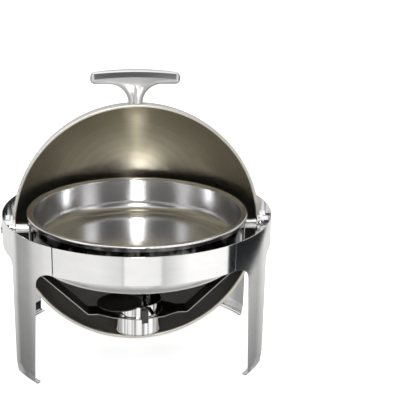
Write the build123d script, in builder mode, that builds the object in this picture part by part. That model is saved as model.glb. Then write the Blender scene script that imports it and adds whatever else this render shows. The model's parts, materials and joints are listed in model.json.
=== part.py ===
from build123d import *
import os
from math import cos, pi, radians, sin, sqrt

# Roll top chafer: a round food pan hangs over a water pan inside a banded four-legged frame. A half-dome
# lid turns on two side pivots and rolls back under the pan. A strap under the pan carries a fuel cup
# with a swing cover. Millimetres, the table is z = 0, the front is -Y and the hinge runs along X.
# Each piece is stored with the lid rolled fully back and the cup cover swung half aside.

# Driving dimensions
hinge_height = 226.0
frame_sheet = 1.5
pan_sheet = 1.0

ring_radius = 236.0
band_top = hinge_height + 31.5
band_bottom = hinge_height - 17.0
side_arch_top = hinge_height - 20.5
seam_angle = 38.3
seam_gap = 2.0
leg_inner_top_angle = 47.2
leg_inner_foot_angle = 50.0
leg_outer_top_angle = 65.5
leg_outer_foot_angle = 64.6
front_arch_radius = 25.0
side_arch_radius = 14.0

foot_bend = 4.5
ankle_height = 22.0
ankle_inset = 2.0
foot_lip = 3.5
foot_reach = 9.5
foot_flat = foot_reach - foot_bend - foot_lip

splice_sweep = 7.0
splice_margin = 4.0
splice_sheet = 1.5

collar_radius = 188.5
collar_bottom = hinge_height - 24.0
flange_seat = hinge_height + 29.6

water_pan_radius = 186.0
water_pan_floor = hinge_height - 59.4
water_pan_corner = 23.0
water_pan_flange = 191.5
water_pan_lip = 1.2

food_pan_radius = 183.0
food_pan_rim = 194.0
food_pan_depth = 65.0
food_pan_corner = 22.0
rim_skirt = 8.3
pan_clearance = 0.1

lid_radius = 218.5
lid_sheet = 1.2
rim_bead = 2.8
bead_inset = 0.05
open_angle = 91.0

pin_radius = 4.0
pin_running_fit = 0.05
pin_head_radius = 9.0
pin_head_height = 3.0
spacer_radius = 9.5
spacer_end = 213.2
hub_radius = 15.0
hub_start = 213.4
hub_end = 233.0
bush_radius = 7.0
ear_radius = 24.0
ear_face = 221.0
ear_overlap = 3.0
washer_start = 233.1
washer_end = 234.2
washer_radius = 9.0
stop_radius = 21.0
stop_pin_radius = 2.5
stop_pin_start = 223.5
lug_width = 6.0
lug_start = 224.0
lug_length = 7.0
lug_open_angle = 44.5
stop_clearance = 0.2
stop_slack = 0.6

handle_length = 160.0
handle_bar_angle = 15.0
handle_base_angle = 19.0
handle_bar_reach = 264.5
handle_crown = 279.8
handle_tip_top = 273.8
handle_tip_under = 253.0
handle_waist = 26.0
handle_arc = 34.0
handle_depth = 24.0
handle_tip_depth = 10.0
handle_fillet = 4.0
handle_root = 10.0
handle_screw_offset = 9.8
handle_screw_radius = 2.5
handle_screw_head = 4.8
handle_screw_head_height = 3.2
handle_screw_dome = 1.8
handle_washer_radius = 6.5
screw_seat = 215.9
screw_top = 231.0

strap_width = 36.0
strap_underside = hinge_height - 162.5
strap_bend_x = 89.7
strap_knee_x = collar_radius + 0.1 + frame_sheet / 2
strap_slope = 0.96
strap_top = hinge_height + 14.0
strap_bend_radius = 4.0
strap_ring_radius = 47.0
strap_hole_gap = 0.3
strap_web = ((72.0, 18.0), (46.0, 35.0), (18.0, 43.4))

cup_radius = 43.0
cup_floor = hinge_height - 198.0
cup_top = hinge_height - 138.4
cup_corner = 6.0
cup_flange = 46.0
cup_flange_sheet = 1.4

cover_radius = 40.0
cover_pivot_radius = 50.0
cover_pivot_bearing = 10.6
cover_swing = 49.2
cover_thickness = 1.5
cover_underside = cup_top + 0.8
clip_thickness = 1.2
clip_width = 12.0
clip_reach = 55.5
clip_drop = 27.0
clip_clearance = 1.1
cover_pin_radius = 2.0
cover_pin_foot = 3.3
cover_pin_shoulder = 3.5
cover_pin_head = 4.0
cover_pin_play = 0.1
lever_width = 10.0
lever_tail = 10.0
lever_curl = 8.0
lever_drop = 9.0

tie_top = hinge_height - 11.0
tie_angle = 54.0
tie_sweep = 9.0
tie_drop = 13.0

hinge_axis = Axis((0, 0, hinge_height), (1, 0, 0))
front = 270.0
strap_floor = strap_underside + frame_sheet
strap_knee_z = strap_underside + (strap_knee_x - strap_bend_x) * strap_slope

pieces = {}


def keep(name, part):
    """Label a finished piece and hold it for export under its node name."""
    part.label = name
    pieces[name] = part


def radial_plane(bearing):
    """Upright plane through the Z axis: local x points outward at this bearing, local y points up."""
    a = radians(bearing)
    return Plane(origin=(0, 0, 0), x_dir=(cos(a), sin(a), 0), z_dir=(sin(a), -cos(a), 0))


def rounded_face(*corners):
    """Face from (x, y, corner radius) points, used inside a sketch."""
    with BuildLine() as outline:
        FilletPolyline(*[(x, y) for x, y, r in corners], radius=[r for x, y, r in corners], close=True)
    make_face(outline.edges())


def opened(part):
    """Turn a piece of the closed lid back to its rolled-open place."""
    return part.rotate(hinge_axis, -open_angle)


# Frame band: two side plates with legs, joined by a front and a rear apron
gap_angle = seam_gap / ring_radius * 180 / pi
ankle_wall = ring_radius - ankle_inset


def band_sector(bearing, sweep, bottom, top, inner=ring_radius - frame_sheet, outer=ring_radius):
    """Curved plate between two radii and two heights, centred on a bearing."""
    with BuildPart() as sector:
        with BuildSketch(radial_plane(bearing - sweep / 2)):
            with Locations(((inner + outer) / 2, (bottom + top) / 2)):
                Rectangle(outer - inner, top - bottom)
        revolve(axis=Axis.Z, revolution_arc=sweep)
    return sector.part


def leg_openings():
    """Solids that cut the arch under each apron and the arch between a side plate's legs."""
    knee_x = ring_radius * sin(radians(leg_inner_top_angle))
    foot_x = ring_radius * sin(radians(leg_inner_foot_angle))
    knee_y = ring_radius * cos(radians(leg_outer_top_angle))
    foot_y = ring_radius * cos(radians(leg_outer_foot_angle))
    r1 = front_arch_radius
    r2 = side_arch_radius
    with BuildPart() as openings:
        with BuildSketch(Plane.XZ):
            rounded_face((-foot_x, 0, 0),
                         (-knee_x, band_bottom, r1),
                         (knee_x, band_bottom, r1),
                         (foot_x, 0, 0))
        extrude(amount=2 * ring_radius, both=True)
        with BuildSketch(Plane.YZ):
            rounded_face((-foot_y, 0, 0),
                         (-knee_y, side_arch_top, r2),
                         (knee_y, side_arch_top, r2),
                         (foot_y, 0, 0))
        extrude(amount=2 * ring_radius, both=True)
    return openings.part


def foot_curl(bearing, sweep):
    """The rolled-in lip along the bottom of one leg."""
    wall = ankle_wall
    lip_centre = wall - foot_bend - foot_flat
    inner_bend = foot_bend - frame_sheet
    inner_lip = foot_lip - frame_sheet
    with BuildPart() as curl:
        with BuildSketch(radial_plane(bearing - sweep / 2)):
            with BuildLine():
                Line((wall, foot_bend), (wall - frame_sheet, foot_bend))
                RadiusArc((wall - frame_sheet, foot_bend), (wall - foot_bend, frame_sheet), inner_bend)
                Line((wall - foot_bend, frame_sheet), (lip_centre, frame_sheet))
                RadiusArc((lip_centre, frame_sheet), (lip_centre - inner_lip, foot_lip), inner_lip)
                Line((lip_centre - inner_lip, foot_lip), (lip_centre - foot_lip, foot_lip))
                RadiusArc((lip_centre - foot_lip, foot_lip), (lip_centre, 0), -foot_lip)
                Line((lip_centre, 0), (wall - foot_bend, 0))
                RadiusArc((wall - foot_bend, 0), (wall, foot_bend), -foot_bend)
            make_face()
        revolve(axis=Axis.Z, revolution_arc=sweep)
    return curl.part


leg_bearing = (leg_inner_foot_angle + leg_outer_foot_angle) / 2
leg_sweep = leg_outer_foot_angle - leg_inner_foot_angle
side_sweep = 180 - 2 * seam_angle - gap_angle
cut_openings = leg_openings()
for side, bearing in (("left", 180), ("right", 0)):
    direction = 1 if side == "right" else -1
    inner_wall = ring_radius - frame_sheet
    with BuildPart() as side_plate:
        with BuildSketch(radial_plane(bearing - side_sweep / 2)):
            rounded_face((ankle_wall - frame_sheet, foot_bend, 0),
                         (ankle_wall, foot_bend, 0),
                         (ring_radius, ankle_height, 0),
                         (ring_radius, band_top, 0),
                         (inner_wall, band_top, 0),
                         (inner_wall, ankle_height, 0))
        revolve(axis=Axis.Z, revolution_arc=side_sweep)
        add(cut_openings, mode=Mode.SUBTRACT)
        for end in (-1, 1):
            add(foot_curl(bearing + end * (90 - leg_bearing), leg_sweep))
        with Locations(Plane((0, 0, hinge_height), z_dir=(direction, 0, 0))):
            with Locations((0, 0, ring_radius)):
                Cylinder(pin_radius, 4 * pin_radius, mode=Mode.SUBTRACT)
    keep(side + "_side_plate", side_plate.part)

apron_sweep = 2 * seam_angle - gap_angle
keep("front_apron", band_sector(front, apron_sweep, band_bottom, band_top))
keep("rear_apron", band_sector(90, apron_sweep, band_bottom, band_top))

splice_outer = ring_radius - frame_sheet
with BuildPart() as splice_plates:
    for middle in (90, 270):
        for end in (-1, 1):
            add(band_sector(middle + end * seam_angle, splice_sweep, band_bottom + splice_margin,
                            band_top - splice_margin, splice_outer - splice_sheet, splice_outer))
keep("splice_plates", splice_plates.part)

# Collar that carries both pans, and the two ties from it to the side plates
with BuildPart() as support_ring:
    with BuildSketch(Plane.XZ):
        with Locations((collar_radius - frame_sheet / 2, (collar_bottom + flange_seat) / 2)):
            Rectangle(frame_sheet, flange_seat - collar_bottom)
    revolve(axis=Axis.Z)
keep("support_ring", support_ring.part)

for side, bearing in (("left", front - tie_angle), ("right", front + tie_angle)):
    tie_outer = ring_radius - frame_sheet
    with BuildPart() as tie:
        add(band_sector(bearing, tie_sweep, tie_top - frame_sheet, tie_top, collar_radius, tie_outer))
        add(band_sector(bearing, tie_sweep, tie_top - tie_drop, tie_top, collar_radius,
                        collar_radius + frame_sheet))
        add(band_sector(bearing, tie_sweep, tie_top - tie_drop, tie_top,
                        tie_outer - frame_sheet, tie_outer))
    keep(side + "_tie_bracket", tie.part)

# Pans
with BuildPart() as water_pan:
    outer = water_pan_radius
    inner = water_pan_radius - pan_sheet
    lip = flange_seat + water_pan_lip
    with BuildSketch(Plane.XZ):
        rounded_face((0, water_pan_floor, 0),
                     (outer, water_pan_floor, water_pan_corner),
                     (outer, flange_seat, 0),
                     (water_pan_flange, flange_seat, 0),
                     (water_pan_flange, lip, 0.5),
                     (inner, lip, 2.0),
                     (inner, water_pan_floor + pan_sheet, water_pan_corner - pan_sheet),
                     (0, water_pan_floor + pan_sheet, 0))
    revolve(axis=Axis.Z)
keep("water_pan", water_pan.part)

with BuildPart() as food_pan:
    rim_top = flange_seat + water_pan_lip + pan_sheet + pan_clearance
    floor = rim_top - food_pan_depth - pan_sheet
    outer = food_pan_radius
    inner = food_pan_radius - pan_sheet
    skirt = rim_top - rim_skirt
    with BuildSketch(Plane.XZ):
        rounded_face((0, floor, 0),
                     (outer, floor, food_pan_corner),
                     (outer, rim_top - pan_sheet, 3.0),
                     (food_pan_rim - pan_sheet, rim_top - pan_sheet, 1.5),
                     (food_pan_rim - pan_sheet, skirt, 0),
                     (food_pan_rim, skirt, 0),
                     (food_pan_rim, rim_top, 2.5),
                     (inner, rim_top, 4.0),
                     (inner, floor + pan_sheet, food_pan_corner - pan_sheet),
                     (0, floor + pan_sheet, 0))
    revolve(axis=Axis.Z)
keep("food_pan", food_pan.part)

# Pivots, one each side along X
for side, direction in (("left", -1), ("right", 1)):
    out = Plane((0, 0, hinge_height), x_dir=(0, 1, 0), z_dir=(direction, 0, 0))

    def turned(name, *corners, bore=0.0):
        """Round piece on the hinge axis from (radius, distance from the middle, corner radius) points."""
        with BuildPart() as piece:
            with BuildSketch(Plane((0, 0, hinge_height), x_dir=(0, 0, 1), z_dir=(0, -direction, 0))):
                rounded_face(*corners)
            revolve(axis=hinge_axis)
        keep(side + "_" + name, piece.part)

    turned("pivot_pin",
           (0, collar_radius, 0),
           (pin_radius, collar_radius, 0),
           (pin_radius, ring_radius, 0),
           (pin_head_radius, ring_radius, 0),
           (pin_head_radius, ring_radius + pin_head_height, 2.0),
           (0, ring_radius + pin_head_height, 0))
    spacer_start = strap_knee_x + frame_sheet / 2
    turned("spacer_tube",
           (pin_radius, spacer_start, 0),
           (spacer_radius, spacer_start, 0.6),
           (spacer_radius, spacer_end, 0.6),
           (pin_radius, spacer_end, 0))
    turned("pivot_washer",
           (pin_radius, washer_start, 0),
           (washer_radius, washer_start, 0.3),
           (washer_radius, washer_end, 0),
           (pin_radius, washer_end, 0))
    bush_bore = pin_radius + pin_running_fit
    turned("hub_bush",
           (bush_bore, hub_start, 0),
           (bush_radius, hub_start, 0),
           (bush_radius, hub_end, 0),
           (bush_bore, hub_end, 0))

    with BuildPart() as hub:
        with BuildSketch(out.offset(hub_start)):
            Circle(hub_radius)
        extrude(amount=hub_end - hub_start)
        with BuildSketch(out.offset(lid_radius - ear_overlap)):
            Circle(ear_radius)
        extrude(amount=ear_face - lid_radius + ear_overlap)
        with Locations((0, 0, hinge_height)):
            Sphere(lid_radius, rotation=(0, 0, 90), mode=Mode.SUBTRACT)
        with BuildSketch(out.offset(hub_start)):
            Circle(hub_radius)
        extrude(amount=ear_face - hub_start)
        closed_lug = radians(lug_open_angle + open_angle)
        lug_plane = Plane((direction * lug_start, 0, hinge_height),
                          x_dir=(0, cos(closed_lug), sin(closed_lug)),
                          z_dir=(direction, 0, 0))
        with BuildSketch(lug_plane):
            with Locations(((hub_radius + ear_radius - 2) / 2, 0)):
                Rectangle(ear_radius - hub_radius + 2, lug_width)
        extrude(amount=lug_length)
        with BuildSketch(out.offset(hub_start)):
            Circle(bush_radius)
        extrude(amount=hub_end - hub_start, mode=Mode.SUBTRACT)
    keep(side + "_hinge_hub", opened(hub.part))

    half_width = (lug_width / 2 + stop_pin_radius + stop_clearance) / stop_radius * 180 / pi + stop_slack
    with BuildPart() as stop_pins:
        for angle in (lug_open_angle - half_width, lug_open_angle + open_angle + half_width):
            y = stop_radius * cos(radians(angle))
            z = hinge_height + stop_radius * sin(radians(angle))
            with BuildSketch(Plane((direction * stop_pin_start, y, z), z_dir=(direction, 0, 0))):
                Circle(stop_pin_radius)
            extrude(amount=ring_radius - stop_pin_start)
        with Locations((0, 0, hinge_height)):
            Cylinder(ring_radius - frame_sheet, 100, mode=Mode.INTERSECT)
    keep(side + "_stop_pins", stop_pins.part)

# Lid: a spun half dome with a beaded rim, modelled closed and then rolled open
lid_inner = lid_radius - lid_sheet
base = radians(handle_base_angle)
bar = radians(handle_bar_angle)
base_out = Vector(0, -cos(base), sin(base))
base_point = Vector(0, 0, hinge_height) + base_out * lid_radius
bar_point = Vector(0, -cos(bar), sin(bar)) * handle_bar_reach + Vector(0, 0, hinge_height)
screw_origin = Vector(0, 0, hinge_height)
screw_plane = Plane(screw_origin, x_dir=(1, 0, 0), z_dir=base_out)
screw_spots = ((-handle_screw_offset, 0), (handle_screw_offset, 0))

with BuildPart() as lid_dome:
    with BuildSketch(Plane((0, 0, hinge_height), x_dir=(1, 0, 0), z_dir=(0, -1, 0))):
        with BuildLine():
            Line((lid_inner, 0), (lid_radius, 0))
            CenterArc((0, 0), lid_radius, 0, 90)
            Line((0, lid_radius), (0, lid_inner))
            CenterArc((0, 0), lid_inner, 0, 90)
        make_face()
        with Locations((lid_radius - rim_bead - bead_inset, rim_bead)):
            Circle(rim_bead)
    revolve(axis=Axis((0, 0, hinge_height), (0, 0, 1)))
    with Locations(Plane((0, 0, hinge_height), z_dir=(1, 0, 0))):
        Cylinder(hub_radius, 3 * lid_radius, mode=Mode.SUBTRACT)
    with BuildSketch(screw_plane.offset(screw_seat - 5)):
        with Locations(*screw_spots):
            Circle(handle_screw_radius)
    extrude(amount=20, mode=Mode.SUBTRACT)
keep("lid_dome", opened(lid_dome.part))

# Handle: a bowed grip on a waisted stem, standing on the front of the dome
stem_dir = (bar_point - base_point).normalized()
handle_plane = Plane(base_point, x_dir=(1, 0, 0), z_dir=Vector(1, 0, 0).cross(stem_dir))
half = handle_length / 2
crown = handle_crown - lid_radius
tip_top = handle_tip_top - lid_radius
tip_under = handle_tip_under - lid_radius
waist = handle_waist / 2
arc_start = waist + handle_arc
arc_end = tip_under - handle_arc
arc_middle = (arc_start - handle_arc * sqrt(0.5), arc_end + handle_arc * sqrt(0.5))
with BuildPart() as handle:
    with BuildSketch(handle_plane):
        with BuildLine():
            ThreePointArc((-half, tip_top), (0, crown), (half, tip_top))
            Line((half, tip_top), (half, tip_under))
            Line((half, tip_under), (arc_start, tip_under))
            ThreePointArc((arc_start, tip_under), arc_middle, (waist, arc_end))
            Line((waist, arc_end), (waist, -handle_root))
            Line((waist, -handle_root), (-waist, -handle_root))
            Line((-waist, -handle_root), (-waist, arc_end))
            ThreePointArc((-waist, arc_end), (-arc_middle[0], arc_middle[1]), (-arc_start, tip_under))
            Line((-arc_start, tip_under), (-half, tip_under))
            Line((-half, tip_under), (-half, tip_top))
        make_face()
    extrude(amount=handle_depth / 2, both=True)
    plan = Plane(base_point, x_dir=(1, 0, 0), z_dir=stem_dir)
    tip = handle_tip_depth / 2
    middle = handle_depth / 2
    with BuildSketch(plan.offset(-2 * handle_root)):
        with BuildLine():
            ThreePointArc((-half, tip), (0, middle), (half, tip))
            Line((half, tip), (half, -tip))
            ThreePointArc((half, -tip), (0, -middle), (-half, -tip))
            Line((-half, -tip), (-half, tip))
        make_face()
    extrude(amount=10 * handle_root, mode=Mode.INTERSECT)
    fillet(handle.edges(), radius=handle_fillet)
    with Locations((0, 0, hinge_height)):
        Sphere(lid_radius, mode=Mode.SUBTRACT)
    with BuildSketch(screw_plane.offset(screw_seat)):
        with Locations(*screw_spots):
            Circle(handle_screw_radius)
    extrude(amount=screw_top - screw_seat, mode=Mode.SUBTRACT)
keep("handle", opened(handle.part))

with BuildPart() as handle_screws:
    with BuildSketch(screw_plane.offset(screw_seat)):
        with Locations(*screw_spots):
            Circle(handle_screw_radius)
    extrude(amount=screw_top - screw_seat)
    with BuildSketch(screw_plane.offset(screw_seat)):
        with Locations(*screw_spots):
            Circle(handle_screw_head)
    extrude(amount=-handle_screw_head_height)
    heads = handle_screws.faces().sort_by(Axis(screw_origin, base_out))[:2]
    fillet(heads.edges(), radius=handle_screw_dome)
keep("handle_screws", opened(handle_screws.part))

with BuildPart() as handle_washers:
    with BuildSketch(screw_plane.offset(screw_seat)):
        with Locations(*screw_spots):
            Circle(handle_washer_radius)
            Circle(handle_screw_radius, mode=Mode.SUBTRACT)
    extrude(amount=4)
    with Locations((0, 0, hinge_height)):
        Sphere(lid_inner, mode=Mode.INTERSECT)
keep("handle_washers", opened(handle_washers.part))

# Fuel strap: hangs from the two pivot pins and rings the cup
quarter = list(strap_web)
web = quarter + [(-x, y) for x, y in reversed(quarter)]
web += [(-x, -y) for x, y in quarter] + [(x, -y) for x, y in reversed(quarter)]
with BuildPart() as fuel_strap:
    middle = frame_sheet / 2
    with BuildSketch(Plane.XZ):
        with BuildLine():
            FilletPolyline((-strap_knee_x, strap_top),
                           (-strap_knee_x, strap_knee_z + middle),
                           (-strap_bend_x, strap_underside + middle),
                           (strap_bend_x, strap_underside + middle),
                           (strap_knee_x, strap_knee_z + middle),
                           (strap_knee_x, strap_top),
                           radius=strap_bend_radius)
            offset(amount=middle)
        make_face()
    extrude(amount=strap_width / 2, both=True)
    with BuildSketch(Plane.XY.offset(strap_underside)):
        Circle(strap_ring_radius)
        with BuildLine():
            Polyline(*web, close=True)
        make_face()
    extrude(amount=frame_sheet)
    with BuildSketch(Plane.XY.offset(strap_underside)):
        Circle(cup_radius + strap_hole_gap)
    extrude(amount=frame_sheet, mode=Mode.SUBTRACT)
    with Locations(Plane((0, 0, hinge_height), z_dir=(1, 0, 0))):
        Cylinder(pin_radius, 3 * collar_radius, mode=Mode.SUBTRACT)
keep("fuel_strap", fuel_strap.part)

# Fuel cup, with the flange that rests on the strap
with BuildPart() as fuel_cup:
    inner = cup_radius - pan_sheet
    with BuildSketch(Plane.XZ):
        rounded_face((0, cup_floor, 0),
                     (cup_radius, cup_floor, cup_corner),
                     (cup_radius, strap_floor, 0),
                     (cup_flange, strap_floor, 0),
                     (cup_flange, strap_floor + cup_flange_sheet, 0.5),
                     (cup_radius, strap_floor + cup_flange_sheet, 0),
                     (cup_radius, cup_top, 0.4),
                     (inner, cup_top, 0.4),
                     (inner, cup_floor + pan_sheet, cup_corner - pan_sheet),
                     (0, cup_floor + pan_sheet, 0))
    revolve(axis=Axis.Z)
keep("fuel_cup", fuel_cup.part)

# Swing cover, its clip on the cup and the pin between them
pivot_bearing = front + cover_pivot_bearing
pivot_plane = radial_plane(pivot_bearing)
pivot_x = cover_pivot_radius * cos(radians(pivot_bearing))
pivot_y = cover_pivot_radius * sin(radians(pivot_bearing))
clip_top = cover_underside - clip_clearance
with BuildPart() as cover_clip:
    with BuildSketch(pivot_plane):
        rounded_face((cup_radius - 1, clip_top, 0),
                     (clip_reach, clip_top, 2.0),
                     (clip_reach, clip_top - clip_drop, 0),
                     (clip_reach - clip_thickness, clip_top - clip_drop, 0),
                     (clip_reach - clip_thickness, clip_top - clip_thickness, 0.8),
                     (cup_radius - 1, clip_top - clip_thickness, 0))
    extrude(amount=clip_width / 2, both=True)
    Cylinder(cup_radius, 2 * cup_top, mode=Mode.SUBTRACT)
    with Locations((pivot_x, pivot_y, clip_top)):
        Cylinder(cover_pin_radius, 10, mode=Mode.SUBTRACT)
keep("cover_clip", cover_clip.part)

pin_foot = clip_top - clip_thickness
pin_shoulder = cover_underside - cover_pin_play
pin_seat = cover_underside + cover_thickness + cover_pin_play
with BuildPart() as cover_pin:
    with BuildSketch(Plane((pivot_x, pivot_y, 0), x_dir=(1, 0, 0), z_dir=(0, -1, 0))):
        rounded_face((0, pin_foot - 1.6, 0),
                     (cover_pin_foot, pin_foot - 1.6, 0.8),
                     (cover_pin_foot, pin_foot, 0),
                     (cover_pin_radius, pin_foot, 0),
                     (cover_pin_radius, clip_top, 0),
                     (cover_pin_shoulder, clip_top, 0),
                     (cover_pin_shoulder, pin_shoulder, 0),
                     (cover_pin_radius, pin_shoulder, 0),
                     (cover_pin_radius, pin_seat, 0),
                     (cover_pin_head, pin_seat, 0),
                     (cover_pin_head, pin_seat + 1.7, 1.2),
                     (0, pin_seat + 1.7, 0))
    revolve(axis=Axis((pivot_x, pivot_y, 0), (0, 0, 1)))
keep("cover_pin", cover_pin.part)

tail_end = cover_pivot_radius + lever_tail
with BuildPart() as swing_cover:
    with BuildSketch(Plane.XY.offset(cover_underside)):
        Circle(cover_radius)
        with Locations(Location((0, 0), pivot_bearing)):
            with Locations((tail_end / 2, 0)):
                Rectangle(tail_end, lever_width)
    extrude(amount=cover_thickness)
    with BuildSketch(pivot_plane):
        rounded_face((tail_end - 1, cover_underside, 0),
                     (tail_end - 1, cover_underside + cover_thickness, 0),
                     (tail_end, cover_underside + cover_thickness, 1.0),
                     (tail_end + lever_curl, cover_underside - lever_drop, 0),
                     (tail_end + lever_curl - clip_thickness, cover_underside - lever_drop - 0.8, 0))
    extrude(amount=lever_width / 2, both=True)
    with Locations((pivot_x, pivot_y, cover_underside)):
        Cylinder(cover_pin_radius + pin_running_fit, 10, mode=Mode.SUBTRACT)
pivot_axis = Axis((pivot_x, pivot_y, 0), (0, 0, 1))
keep("swing_cover", swing_cover.part.rotate(pivot_axis, cover_swing))

os.makedirs("parts", exist_ok=True)
for name, part in pieces.items():
    export_step(part, "parts/" + name + ".step")
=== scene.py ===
import json
from math import cos, pi, radians, sin, sqrt

import bmesh
import bpy
from mathutils import Matrix, Vector

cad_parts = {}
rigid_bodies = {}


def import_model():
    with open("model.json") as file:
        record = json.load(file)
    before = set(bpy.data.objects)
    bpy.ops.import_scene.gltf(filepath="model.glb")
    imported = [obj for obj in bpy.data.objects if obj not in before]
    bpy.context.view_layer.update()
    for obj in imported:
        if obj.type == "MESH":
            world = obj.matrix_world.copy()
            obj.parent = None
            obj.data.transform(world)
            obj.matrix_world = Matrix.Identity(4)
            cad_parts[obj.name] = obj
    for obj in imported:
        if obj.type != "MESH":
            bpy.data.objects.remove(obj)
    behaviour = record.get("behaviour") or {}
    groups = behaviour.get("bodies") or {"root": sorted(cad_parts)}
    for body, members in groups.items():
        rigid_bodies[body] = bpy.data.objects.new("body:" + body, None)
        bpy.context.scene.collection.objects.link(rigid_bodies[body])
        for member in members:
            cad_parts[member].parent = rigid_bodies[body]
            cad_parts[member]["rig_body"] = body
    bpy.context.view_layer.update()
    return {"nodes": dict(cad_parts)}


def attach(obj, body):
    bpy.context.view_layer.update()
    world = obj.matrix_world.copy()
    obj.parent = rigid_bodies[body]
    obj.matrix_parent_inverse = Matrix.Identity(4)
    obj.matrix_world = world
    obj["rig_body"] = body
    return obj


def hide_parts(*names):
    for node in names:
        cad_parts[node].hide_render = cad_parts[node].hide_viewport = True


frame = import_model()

# Roll top chafer. Metres, the table is z = 0, the front is -Y and the hinge runs along X.
HINGE = Vector((0, 0, 0.226))
DOME = 0.2185
DOME_SKIN = (0.0009, 0.0004)
POLE_TILT = radians(91)
BEAD = 0.0028
BEAD_BLEND = 0.0001

BAND_EDGE = 0.0004
STRAP_EDGE = 0.0003
SHARP = radians(30)
WELD = 1e-6
GRIP_WELD = 2e-5
FLOOR_HALF = 20

CAMERA_LENS = 88.08
CAMERA_PLACE = (-0.1012, -1.6390, 0.8077)
CAMERA_TURN = radians(-7.36)
CAMERA_PITCH = radians(-17.97)
CAMERA_ROLL = radians(1.28)


# Camera ---------------------------------------------------------------------------------------------------
def link(made):
    bpy.context.scene.collection.objects.link(made)
    return made


def make_camera():
    data = bpy.data.cameras.new("camera")
    data.sensor_width = 36
    data.lens = CAMERA_LENS
    data.clip_end = 100
    camera = link(bpy.data.objects.new("camera", data))
    turn = Matrix.Rotation(CAMERA_TURN, 4, "Z")
    pitch = Matrix.Rotation(radians(90) + CAMERA_PITCH, 4, "X")
    roll = Matrix.Rotation(CAMERA_ROLL, 4, "Z")
    camera.matrix_world = Matrix.Translation(CAMERA_PLACE) @ turn @ pitch @ roll
    bpy.context.scene.camera = camera


# Shader building ------------------------------------------------------------------------------------------
class Shader:
    """A node tree with short calls for the nodes that the finishes use.

    An input is named with _ for each space, or i and its number.
    """

    def __init__(self, tree):
        self.tree = tree
        self.tree.nodes.clear()

    def node(self, kind, settings=(), **inputs):
        made = self.tree.nodes.new("ShaderNode" + kind)
        for key, value in dict(settings).items():
            setattr(made, key, value)
        for key, value in inputs.items():
            numbered = key[0] == "i" and key[1:].isdigit()
            socket = made.inputs[int(key[1:]) if numbered else key.replace("_", " ")]
            if isinstance(value, bpy.types.NodeSocket):
                self.tree.links.new(value, socket)
            else:
                socket.default_value = value
        return made

    def math(self, operation, *values):
        inputs = {f"i{i}": v for i, v in enumerate(values)}
        return self.node("Math", {"operation": operation}, **inputs).outputs[0]

    def plus(self, base, value, low, high, most):
        """Base plus up to most where value is between low and high."""
        return self.math("ADD", base, self.remap(value, low, high, 0, most))

    def vector(self, operation, first, second=None, output=0):
        inputs = {"i0": first} if second is None else {"i0": first, "i1": second}
        return self.node("VectorMath", {"operation": operation}, **inputs).outputs[output]

    def place(self, scale=(1, 1, 1)):
        where = self.node("TexCoord").outputs["Object"]
        return self.node("Mapping", Vector=where, Scale=scale).outputs[0]

    def noise(self, vector, scale, detail=2.0, roughness=0.5):
        made = self.node("TexNoise", Vector=vector, Scale=scale, Detail=detail, Roughness=roughness)
        return made.outputs[0]

    def remap(self, value, low, high, to_low, to_high):
        made = self.node("MapRange", i0=value, i1=low, i2=high, i3=to_low, i4=to_high)
        return made.outputs[0]

    def mix(self, factor, first, second):
        made = self.node("MixRGB", i0=factor, i1=first, i2=second)
        return made.outputs[0]

    def ramp(self, factor, stops):
        made = self.node("ValToRGB", i0=factor)
        elements = made.color_ramp.elements
        while len(elements) < len(stops):
            elements.new(0.5)
        for element, (position, level) in zip(elements, stops):
            element.position = position
        for element, (position, level) in zip(elements, stops):
            element.color = grey(level)
        return made.outputs[0]

    def metal(self, colour, roughness, **inputs):
        made = self.node("BsdfPrincipled", Base_Color=colour, Metallic=1.0, Roughness=roughness, **inputs)
        return made.outputs[0]

    def bump(self, height, distance, strength=1.0, below=None):
        made = self.node("Bump", Strength=strength, Distance=distance, Height=height)
        if below is not None:
            self.tree.links.new(below, made.inputs["Normal"])
        return made.outputs[0]


def finish_material(name, build):
    material = bpy.data.materials.new(name)
    material.use_nodes = True
    shader = Shader(material.node_tree)
    surface = build(shader)
    output = shader.node("OutputMaterial")
    shader.tree.links.new(surface, output.inputs["Surface"])
    return material


def rgb(r, g, b):
    return (r, g, b, 1.0)


def grey(level):
    return rgb(level, level, level)


def polished(tint, dull, rough, waviness=0.0012, scratch=0.00004, painted_edge=None):
    """Polished sheet steel: faint smears, fine scratches and the slow waves of rolled sheet.

    The edges that face round the Z axis can take a colour of their own: on the band a dark painted shade.
    """
    def build(s):
        where = s.place()
        smear = s.noise(s.place((6, 6, 14)), 2.2, 4, 0.6)
        cloud = s.noise(where, 24, 2, 0.5)
        colour = s.mix(s.remap(smear, 0.35, 0.7, 0, 1), tint, dull)
        gloss = s.plus(s.remap(smear, 0.35, 0.75, rough, rough * 1.3), cloud, 0.45, 0.8, rough * 0.15)
        # Painted shade: edges whose normals face round the Z axis take the given dark colour in place of
        # the steel.
        if painted_edge:
            tangent = s.vector("NORMALIZE", s.vector("CROSS_PRODUCT", where, (0, 0, 1)))
            facing = s.vector("DOT_PRODUCT", tangent, s.node("TexCoord").outputs["Normal"], "Value")
            colour = s.mix(s.remap(s.math("ABSOLUTE", facing), 0.6, 0.9, 0, 1), colour, painted_edge)
        normal = s.bump(s.noise(where, 7.0, 1, 0.4), waviness, 0.35)
        if scratch:
            normal = s.bump(s.noise(s.place((40, 40, 500)), 2.0, 2, 0.5), scratch, 0.35, normal)
        return s.metal(colour, gloss, Normal=normal)
    return build


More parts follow.
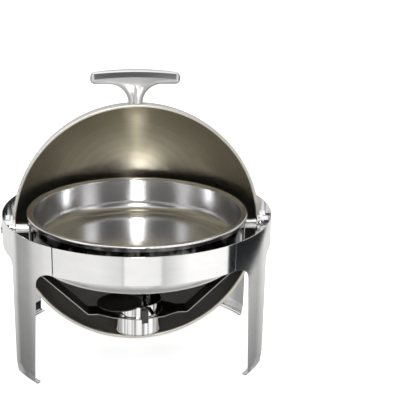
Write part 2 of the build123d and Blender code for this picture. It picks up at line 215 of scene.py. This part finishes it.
def satin_dome(s):
    """The spun dome: concentric tool lines inside over painted reflection and shade, a cream satin bead,
    polished outside.
    """
    where = s.place()
    pole = (0, sin(POLE_TILT), cos(POLE_TILT))
    offset = s.vector("SUBTRACT", where, tuple(HINGE))
    rise = s.vector("DOT_PRODUCT", offset, pole, "Value")
    radius = s.vector("LENGTH", offset, output="Value")
    rings = s.node("CombineXYZ", i2=rise).outputs[0]
    fine = s.noise(rings, 1300, 2, 0.6)
    broad = s.noise(rings, 170, 3, 0.6)
    cloud = s.noise(where, 8, 3, 0.5)
    # Painted reflection and shade: inside, the colour runs from dark grey low down to olive above z 0.19 to
    # 0.30, standing in for what the satin mirrors.
    height = s.node("SeparateXYZ", i0=where).outputs[2]
    lines = s.remap(broad, 0.3, 0.7, 0, 1)
    low_painted_shade = s.mix(lines, rgb(0.335, 0.330, 0.326), rgb(0.405, 0.399, 0.394))
    high_painted_reflection = s.mix(lines, rgb(0.58, 0.525, 0.395), rgb(0.68, 0.625, 0.49))
    high_painted_reflection = s.mix(s.remap(cloud, 0.42, 0.62, 0, 0.55), high_painted_reflection, rgb(0.50, 0.48, 0.32))
    colour = s.mix(s.remap(height, 0.19, 0.30, 0, 1), low_painted_shade, high_painted_reflection)
    drawn = s.node("CombineXYZ", i0=0.0, i1=pole[1], i2=pole[2]).outputs[0]
    to_world = {"vector_type": "VECTOR", "convert_from": "OBJECT", "convert_to": "WORLD"}
    along = s.node("VectorTransform", to_world, Vector=drawn).outputs[0]
    grooves = s.bump(broad, 0.0004, 0.30, s.bump(fine, 0.00008, 0.5))
    gloss = s.remap(cloud, 0.3, 0.7, 0.30, 0.38)
    satin = s.metal(colour, gloss, Anisotropic=0.8, Tangent=along, Normal=grooves)
    smear = s.noise(s.place((5, 5, 5)), 2.0, 4, 0.6)
    slow = s.bump(s.noise(where, 5.0, 1, 0.4), 0.0012, 0.3)
    outside = s.mix(smear, rgb(0.86, 0.85, 0.83), rgb(0.80, 0.79, 0.77))
    bright = s.metal(outside, s.remap(smear, 0.3, 0.7, 0.04, 0.09), Normal=slow)
    bead = s.metal(s.mix(cloud, rgb(0.95, 0.91, 0.83), rgb(0.88, 0.84, 0.76)), 0.42)
    inner = s.remap(radius, DOME - DOME_SKIN[0], DOME - DOME_SKIN[1], 1, 0)
    rim = s.remap(rise, BEAD * 2 - BEAD_BLEND, BEAD * 2 + BEAD_BLEND, 1, 0)
    sides = s.node("MixShader", i0=inner, i1=bright, i2=satin).outputs[0]
    return s.node("MixShader", i0=rim, i1=sides, i2=bead).outputs[0]


def streaked(dark, light, rough, count, low=0.42, high=0.62):
    """Drawn round sheet whose colour runs from dark to light in upright streaks round the Z axis."""
    def build(s):
        where = s.place()
        x, y, z = s.node("SeparateXYZ", i0=where).outputs
        turn = s.math("ARCTAN2", y, x)
        around = s.math("MULTIPLY", turn, count)
        ring = s.node("CombineXYZ", i0=around, i2=s.math("MULTIPLY", z, 3.0)).outputs[0]
        streak = s.noise(ring, 1.0, 3, 0.6)
        cloud = s.noise(where, 45, 4, 0.6)
        colour = s.mix(s.remap(streak, low, high, 0, 1), dark, light)
        hair = s.noise(s.place((60, 60, 700)), 3.0, 3, 0.7)
        gloss = s.remap(cloud, 0.3, 0.75, rough, rough * 1.8)
        return s.metal(colour, gloss, Normal=s.bump(hair, 0.00004, 0.35))
    return build


def dark_strap_finish(dark, stain, painted_edge, rough):
    """Dark strap whose front and back edges take a bright steel colour: partly bare metal at the edge,
    partly painted highlight.
    """
    def build(s):
        cloud = s.noise(s.place(), 30, 4, 0.6)
        colour = s.mix(s.remap(cloud, 0.35, 0.7, 0, 1), dark, stain)
        facing = s.node("SeparateXYZ", i0=s.node("TexCoord").outputs["Normal"]).outputs[1]
        # Partly painted highlight: faces whose normals run along Y, the front and back edges, take the
        # bright colour.
        sheared_edge_glint = s.remap(s.math("ABSOLUTE", facing), 0.75, 0.95, 0, 1)
        hair = s.noise(s.place((500, 30, 500)), 2.0, 3, 0.7)
        gloss = s.remap(cloud, 0.3, 0.7, rough, rough * 1.4)
        return s.metal(s.mix(sheared_edge_glint, colour, painted_edge), gloss, Normal=s.bump(hair, 0.00004, 0.4))
    return build


def moulded(tint):
    """Matt moulded plastic with a fine grain."""
    def build(s):
        grain = s.noise(s.place(), 900, 3, 0.6)
        cloud = s.noise(s.place(), 60, 2, 0.5)
        shade = rgb(*[0.7 * part for part in tint[:3]])
        colour = s.mix(s.remap(cloud, 0.4, 0.6, 0, 0.3), tint, shade)
        return s.node("BsdfPrincipled", Base_Color=colour, Roughness=s.remap(cloud, 0.3, 0.7, 0.4, 0.5),
                      Normal=s.bump(grain, 0.0001, 0.5)).outputs[0]
    return build


FINISHES = {
    # Painted shade: grey(0.16) is laid on the band's edges that face round the Z axis.
    "band_steel": polished(rgb(0.88, 0.875, 0.865), rgb(0.82, 0.815, 0.81), 0.07, painted_edge=grey(0.16)),
    "hidden_steel": polished(grey(0.10), grey(0.06), 0.3),
    # Painted reflection: the polished collar is coloured near black with grey upright streaks for the dark
    # surroundings it mirrors.
    "collar_steel": streaked(rgb(0.03, 0.03, 0.032), grey(0.42), 0.07, 7, 0.50, 0.66),
    "pivot_steel": polished(grey(0.80), grey(0.70), 0.08),
    # The strap's grey(0.40) on its front and back edges is partly bare metal, partly painted highlight.
    "strap_steel": dark_strap_finish(rgb(0.045, 0.043, 0.041), rgb(0.10, 0.098, 0.094), grey(0.40), 0.19),
    "cup_steel": streaked(rgb(0.40, 0.395, 0.39), rgb(0.92, 0.915, 0.91), 0.06, 9, 0.38, 0.54),
    # Painted reflection: the swing cover and its clip are polished steel given a near-black colour for the
    # dark surroundings they mirror.
    "cover_steel": polished(rgb(0.10, 0.097, 0.094), rgb(0.06, 0.058, 0.056), 0.18),
    "pan_steel": polished(rgb(0.80, 0.795, 0.80), rgb(0.72, 0.715, 0.72), 0.17, 0.0006, 0),
    "water_pan_steel": polished(rgb(0.80, 0.795, 0.79), rgb(0.72, 0.715, 0.71), 0.14, 0.001, 0),
    "handle_chrome": polished(grey(0.78), grey(0.70), 0.28, 0.0004, 0),
    "screw_steel": polished(rgb(0.75, 0.745, 0.73), rgb(0.65, 0.645, 0.63), 0.15),
    "bush_nylon": moulded(rgb(0.035, 0.035, 0.037)),
    "dome_steel": satin_dome,
}
SLOTS = {}


def dress_frame():
    """Give every CAD node its finish; SLOTS keeps which slot each node takes."""
    materials = {slot: finish_material(slot + "_finish", build) for slot, build in FINISHES.items()}
    for node in frame["nodes"].values():
        for index, material in enumerate(node.data.materials):
            SLOTS[node.name] = material.name.split(".")[0]
            node.data.materials[index] = materials[SLOTS[node.name]]
    return materials


# Pieces that stand for CAD nodes --------------------------------------------------------------------------
def add_piece(name, mesh, node, material):
    piece = link(bpy.data.objects.new(name, mesh))
    mesh.materials.clear()
    mesh.materials.append(material)
    source = frame["nodes"][node]
    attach(piece, source["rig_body"])
    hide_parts(node)
    return piece


def welded(source, name):
    """Copy of a mesh with its doubled corners joined and its sharp edges marked."""
    bm = bmesh.new()
    bm.from_mesh(source)
    for layer in [n for n in bm.loops.layers.int.keys() if n == "custom_normal"]:
        bm.loops.layers.int.remove(bm.loops.layers.int[layer])
    bmesh.ops.remove_doubles(bm, verts=bm.verts, dist=WELD)
    for face in bm.faces:
        face.smooth = True
    for edge in bm.edges:
        edge.smooth = edge.calc_face_angle(0) < SHARP
    mesh = bpy.data.meshes.new(name)
    bm.to_mesh(mesh)
    bm.free()
    if "custom_normal" in mesh.attributes:
        mesh.attributes.remove(mesh.attributes["custom_normal"])
    return mesh


def broken_edges(node, width, flat_area=3e-4, ring=False):
    """Copy of a sheet piece with its raw edges rounded over.

    A ring piece gets true round walls; any other piece keeps faces larger than flat_area flat.
    """
    rough = welded(frame["nodes"][node].data, node + "_rough")
    holder = link(bpy.data.objects.new(node + "_holder", rough))
    bevel = holder.modifiers.new("edge", "BEVEL")
    bevel.width = width
    bevel.segments = 2
    bevel.limit_method = "ANGLE"
    bevel.angle_limit = radians(40)
    bpy.context.view_layer.update()
    depsgraph = bpy.context.evaluated_depsgraph_get()
    mesh = bpy.data.meshes.new_from_object(holder.evaluated_get(depsgraph))
    bpy.data.objects.remove(holder)
    mesh.name = node + "_soft"
    corners = [Vector(c.vector) for c in mesh.corner_normals]
    for face in mesh.polygons:
        outward = Vector((face.center.x, face.center.y, 0)).normalized()
        facing = face.normal.dot(outward)
        wall = ring and abs(facing) > 0.995 and abs(face.normal.z) < 0.02
        flat = not ring and face.area > flat_area
        for index in face.loop_indices:
            if wall:
                at = mesh.vertices[mesh.loops[index].vertex_index].co
                corners[index] = Vector((at.x, at.y, 0)).normalized() * (1 if facing > 0 else -1)
            elif flat:
                corners[index] = face.normal.copy()
    mesh.normals_split_custom_set(corners)
    return mesh


def smooth_step(x):
    x = min(max(x, 0.0), 1.0)
    return x * x * (3 - 2 * x)


def rounding(x):
    x = min(max(x, 0.0), 1.0)
    return sqrt(1 - (1 - x) ** 2)


class Grip:
    """Cast grip in its own plane: u across, v up the stem from the dome, and the depth of its faces."""

    HALF = 0.080
    CROWN = 0.0613
    TIP_TOP = 0.0553
    UNDER = 0.0345
    WAIST = 0.013
    ARC = 0.034
    ARC_LOW = 0.0005
    CORNER = 0.0085
    REACH = 0.2645
    BASE_ANGLE = radians(19)
    BAR_ANGLE = radians(15)
    TIP_DEPTH = 0.007
    EXTRA_DEPTH = 0.005
    FACET_HEIGHT = 0.012
    COLUMNS = 144
    ROWS = 56

    def __init__(self):
        sagitta = self.CROWN - self.TIP_TOP
        self.bow = (self.HALF ** 2 + sagitta ** 2) / (2 * sagitta)
        self.base = Vector((0, -cos(self.BASE_ANGLE), sin(self.BASE_ANGLE))) * DOME
        bar = Vector((0, -cos(self.BAR_ANGLE), sin(self.BAR_ANGLE))) * self.REACH
        self.across = Vector((1, 0, 0))
        self.stem = (bar - self.base).normalized()
        self.deep = self.across.cross(self.stem)
        self.roll = Matrix.Rotation(-POLE_TILT, 3, "X")

    def trim(self, u):
        """How far the rounded corners of the bar eat in at u."""
        past = abs(u) - (self.HALF - self.CORNER)
        if past <= 0:
            return 0.0
        return self.CORNER - sqrt(max(self.CORNER ** 2 - past ** 2, 0.0))

    def top(self, u):
        return self.CROWN - self.bow + sqrt(self.bow ** 2 - u * u) - self.trim(u)

    def bottom(self, u):
        """Underside of the bar and its arcs, or None where the stem runs on into the dome."""
        away = self.WAIST + self.ARC - abs(u)
        if away <= 0:
            return self.UNDER + self.trim(u)
        if away < self.ARC:
            return self.ARC_LOW + sqrt(self.ARC ** 2 - away ** 2)
        return None

    def inset(self, u, v):
        """Distance in from the side of the stem, the arc or the underside."""
        away = self.WAIST + self.ARC - abs(u)
        if away <= 0:
            return v - self.UNDER - self.trim(u)
        if v > self.ARC_LOW:
            return sqrt(away * away + (v - self.ARC_LOW) ** 2) - self.ARC
        return self.WAIST - abs(u)

    def depth(self, u, v):
        """Half thickness: a sloped facet along the top, a shallow valley and a crease down the stem."""
        inset = self.inset(u, v)
        drop = self.top(u) - v
        thick = self.TIP_DEPTH + self.EXTRA_DEPTH * (1 - (abs(u) / self.HALF) ** 2)
        facet = 1 - 0.22 * max(0.0, 1 - drop / self.FACET_HEIGHT) ** 1.15
        hollow = 0.10 * smooth_step((inset - 0.004) / 0.010)
        crease = 0.08 * (1 - smooth_step(abs(u) / 0.0024))
        fade = 1 - smooth_step((v - 0.010) / 0.030)
        side = rounding(inset / 0.010)
        end = rounding((self.HALF - abs(u)) / 0.009)
        return thick * facet * (1 - fade * (hollow + crease)) * side * rounding(drop / 0.003) * end

    def slope(self, u, v, face):
        """Normal of a face from the slopes of its depth."""
        step = 0.00025
        du = (self.depth(u + step, v) - self.depth(u - step, v)) / (2 * step)
        dv = (self.depth(u, v + step) - self.depth(u, v - step)) / (2 * step)
        return (self.roll @ (self.deep * face - self.across * du - self.stem * dv)).normalized()

    def on_dome(self, u, w, inside):
        """Height at which the line through (u, w) along the stem is this far inside the dome."""
        start = self.base + self.across * u + self.deep * w
        b = start.dot(self.stem)
        return -b + sqrt(b * b - start.dot(start) + (DOME - inside) ** 2)

    def point(self, u, v, w):
        return self.roll @ (self.base + self.across * u + self.stem * v + self.deep * w) + HINGE

    def mesh(self):
        stations = []
        for i in range(self.COLUMNS + 1):
            t = 2 * i / self.COLUMNS - 1
            stations.append(self.HALF * t * (0.55 + 0.45 * abs(t)))
        bm = bmesh.new()
        lean = bm.verts.layers.float_vector.new("lean")
        grids = []
        for face in (1, -1):
            grid = []
            for u in stations:
                low = self.bottom(u)
                if low is None:
                    low = self.on_dome(u, face * self.depth(u, 0.002), 0.0006)
                column = []
                for j in range(self.ROWS + 1):
                    v = low + (0.5 - 0.5 * cos(pi * j / self.ROWS)) * (self.top(u) - low)
                    vert = bm.verts.new(self.point(u, v, face * self.depth(u, max(v, 0.0))))
                    vert[lean] = self.slope(u, max(v, 0.0), face)
                    column.append(vert)
                grid.append(column)
            grids.append(grid)
        for grid, flip in zip(grids, (False, True)):
            for left, right in zip(grid, grid[1:]):
                for j in range(self.ROWS):
                    loop = [left[j], right[j], right[j + 1], left[j + 1]]
                    bm.faces.new(loop[::-1] if flip else loop)
        front, back = grids
        for i in range(self.COLUMNS):
            if self.bottom(stations[i]) is None and self.bottom(stations[i + 1]) is None:
                bm.faces.new([front[i][0], back[i][0], back[i + 1][0], front[i + 1][0]])
        bmesh.ops.remove_doubles(bm, verts=bm.verts, dist=GRIP_WELD)
        bmesh.ops.recalc_face_normals(bm, faces=bm.faces)
        for face in bm.faces:
            face.smooth = True
        mesh = bpy.data.meshes.new("cast_handle")
        bm.to_mesh(mesh)
        bm.free()
        mesh.normals_split_custom_set_from_vertices([tuple(n.vector) for n in mesh.attributes["lean"].data])
        mesh.attributes.remove(mesh.attributes["lean"])
        return mesh


def build_pieces(materials):
    for node in ("left_side_plate", "right_side_plate", "front_apron", "rear_apron"):
        add_piece(node + "_sheet", broken_edges(node, BAND_EDGE, ring=True), node, materials["band_steel"])
    for node in ("fuel_strap", "cover_clip", "swing_cover"):
        slot = "strap_steel" if node == "fuel_strap" else "cover_steel"
        add_piece(node + "_sheet", broken_edges(node, STRAP_EDGE), node, materials[slot])
    add_piece("cast_handle", Grip().mesh(), "handle", materials["handle_chrome"])


# Studio ---------------------------------------------------------------------------------------------------
def studio_floor():
    mesh = bpy.data.meshes.new("floor")
    bm = bmesh.new()
    bmesh.ops.create_grid(bm, x_segments=8, y_segments=8, size=FLOOR_HALF)
    bm.to_mesh(mesh)
    bm.free()
    floor = link(bpy.data.objects.new("floor", mesh))

    def build(s):
        tone = s.noise(s.place(), 1.5, 2, 0.5)
        colour = s.mix(tone, grey(0.90), grey(0.93))
        return s.node("BsdfPrincipled", Base_Color=colour, Roughness=0.8, Emission_Color=grey(1),
                      Emission_Strength=0.6).outputs[0]

    mesh.materials.append(finish_material("pale_floor", build))
    floor.visible_glossy = False


# Brightness round the studio, as (degrees from the front, + to the right, brightness) pairs
LOW_LOOK = (
    (-180, 0.75), (-130, 0.80), (-124, 0.36), (-108, 0.42), (-99, 0.66), (-84, 0.84), (-36, 0.92),
    (-17, 0.80), (-15.5, 0.55), (-14.5, 1.0), (15, 0.95), (17, 0.62), (40, 1.1), (76, 1.1), (84, 0.75),
    (102, 0.7), (106, 0.6), (122, 0.5), (135, 0.8), (180, 0.75),
)
LEVEL_LOOK = (
    (-180, 0.5), (-120, 0.9), (-100, 0.03), (-80, 0.03), (-75, 1.0), (-38, 1.1), (-30, 0.06), (30, 0.05),
    (38, 1.0), (70, 1.1), (78, 0.03), (100, 0.03), (110, 0.9), (150, 0.5), (180, 0.5),
)
UPPER_LOOK = (
    (-180, 0.6), (-125, 0.7), (-110, 0.08), (-95, 0.08), (-85, 1.1), (-58, 1.2), (-48, 0.10), (42, 0.10),
    (50, 1.2), (85, 1.1), (95, 0.06), (110, 0.08), (130, 0.7), (180, 0.6),
)

# Where one look gives way to the next, as heights of the direction looked in
LOW_TO_LEVEL = (-0.30, -0.12)
LEVEL_TO_UPPER = (0.10, 0.28)
UPPER_TO_TOP = (0.60, 0.78)
DOWN_TO_LOW = (-0.95, -0.55)

CARD_SLOPE = 735.0
CARD_LEVEL = 0.383
CARD_EDGE = (280, 283)
CARD_START = (0.714, 0.718)
BESIDE = (radians(88), radians(97))


def studio_world():
    """Light from all round: three looks stacked by height, with a dark card low on the right.

    The camera itself sees plain white behind the object.
    """
    world = bpy.data.worlds.new("studio")
    bpy.context.scene.world = world
    world.use_nodes = True
    s = Shader(world.node_tree)
    look = s.node("TexCoord").outputs["Generated"]
    x, y, height = s.node("SeparateXYZ", i0=look).outputs
    turn = s.math("ARCTAN2", x, s.math("MULTIPLY", y, -1.0))
    azimuth = s.remap(turn, -pi, pi, 0, 1)

    def band(pairs):
        return s.ramp(azimuth, [((degrees + 180) / 360, value) for degrees, value in pairs])

    leaning = s.math("MULTIPLY", s.math("ADD", height, CARD_LEVEL), CARD_SLOPE)
    edge = s.math("SUBTRACT", s.math("MULTIPLY", azimuth, 360.0), leaning)
    card = s.math("MULTIPLY", s.remap(edge, *CARD_EDGE, 1, 0), s.remap(azimuth, *CARD_START, 0, 1))
    low = s.mix(card, band(LOW_LOOK), rgb(0.014, 0.016, 0.018))
    fall = s.ramp(s.math("ADD", height, 1.0), ((0.38, 1.15), (0.46, 0.50), (0.54, 0.52), (0.63, 1.0)))
    beside = s.remap(s.math("ABSOLUTE", turn), *BESIDE, 0, 1)
    low = s.node("MixRGB", {"blend_type": "MULTIPLY"}, i0=beside, i1=low, i2=fall).outputs[0]
    tone = s.mix(s.remap(height, *LOW_TO_LEVEL, 0, 1), low, band(LEVEL_LOOK))
    tone = s.mix(s.remap(height, *LEVEL_TO_UPPER, 0, 1), tone, band(UPPER_LOOK))
    tone = s.mix(s.remap(height, *UPPER_TO_TOP, 0, 1), tone, grey(1.2))
    tone = s.mix(s.remap(height, *DOWN_TO_LOW, 1, 0), tone, grey(0.42))
    shown = s.mix(s.node("LightPath").outputs["Is Camera Ray"], tone, grey(1.0))
    back = s.node("Background", Color=shown, Strength=1.05).outputs[0]
    output = s.node("OutputWorld")
    s.tree.links.new(back, output.inputs["Surface"])


def soft_light(name, place, aim, size, power, unlit):
    """Rectangular light that shines on every mesh but the unlit one."""
    data = bpy.data.lights.new(name, "AREA")
    data.shape = "RECTANGLE"
    data.size, data.size_y = size
    data.energy = power
    light = link(bpy.data.objects.new(name, data))
    light.location = place
    light.rotation_euler = (Vector(aim) - Vector(place)).to_track_quat("-Z", "Y").to_euler()
    lit = bpy.data.collections.new("lit_by_" + name)
    for shown in bpy.context.scene.objects:
        if shown.type == "MESH" and shown.name != unlit:
            lit.objects.link(shown)
    light.light_linking.receiver_collection = lit


make_camera()
build_pieces(dress_frame())
studio_floor()
studio_world()
soft_light("front_key", place=(-0.15, -2.6, 1.7), aim=(0, 0, 0.3), size=(0.45, 1.2), power=26,
           unlit="cast_handle")
bpy.context.scene.view_settings.view_transform = "Standard"
